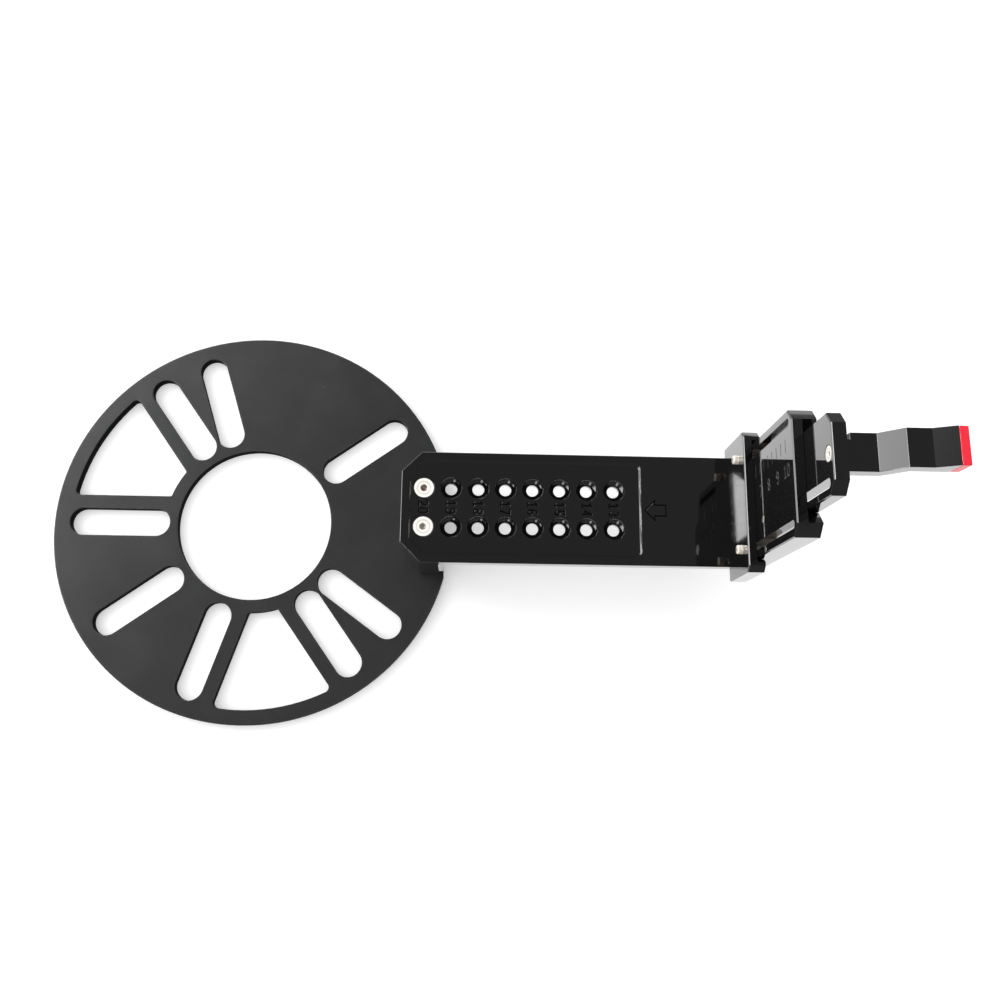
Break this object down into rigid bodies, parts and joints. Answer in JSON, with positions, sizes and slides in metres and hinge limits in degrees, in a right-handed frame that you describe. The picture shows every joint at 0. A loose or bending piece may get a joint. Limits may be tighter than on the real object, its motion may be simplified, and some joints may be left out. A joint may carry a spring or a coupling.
{
  "type": "wheel fitment offset gauge",
  "caption": "Wheel fitment offset gauge: a slotted hub plate carries a numbered arm, two nested clamped slides and a stepped finger with a red tip.",
  "frame": {"origin": "centre of the hub bore on the plate face that seats on the wheel hub", "axes": "+Z is the hub's axis, away from the vehicle; +X runs along the arm towards the rim"},
  "size_m": [0.386, 0.2, 0.169],
  "materials": {
    "black_plastic": "polished",
    "nickel_steel": "nickel plated",
    "brass_insert": "machined",
    "red_plastic": "satin"
  },
  "bodies": {
    "base": {"hub_plate": "black_plastic", "riser_block": "black_plastic", "riser_insert_left": "brass_insert", "riser_insert_right": "brass_insert", "riser_screw_left": "nickel_steel", "riser_screw_right": "nickel_steel", "arm_insert_left": "brass_insert", "arm_insert_right": "brass_insert", "diameter_arm": "black_plastic", "arm_screw_left": "nickel_steel", "arm_screw_right": "nickel_steel", "end_plate": "black_plastic", "end_plate_screw_left": "nickel_steel", "end_plate_screw_right": "nickel_steel", "width_insert_left": "brass_insert", "width_insert_right": "brass_insert", "width_clamp_screw_left": "nickel_steel", "width_clamp_screw_right": "nickel_steel", "width_clamp_washer_left": "nickel_steel", "width_clamp_washer_right": "nickel_steel"},
    "width_slide": {"width_slide": "black_plastic", "rim_clamp_insert": "brass_insert", "rim_clamp_screw": "nickel_steel", "rim_clamp_washer": "nickel_steel"},
    "rim_slide": {"rim_slide": "black_plastic", "rim_arm": "black_plastic", "rim_arm_screw": "nickel_steel", "rim_tip": "red_plastic"}
  },
  "joints": [
    {"name": "width_setting", "type": "slide", "parent": "base", "child": "width_slide", "axis": [0, 0, 1], "range_m": [-0.0563, 0.0284]},
    {"name": "rim_setting", "type": "slide", "parent": "width_slide", "child": "rim_slide", "axis": [0, 0, 1], "range_m": [-0.064, 0.0088]}
  ]
}
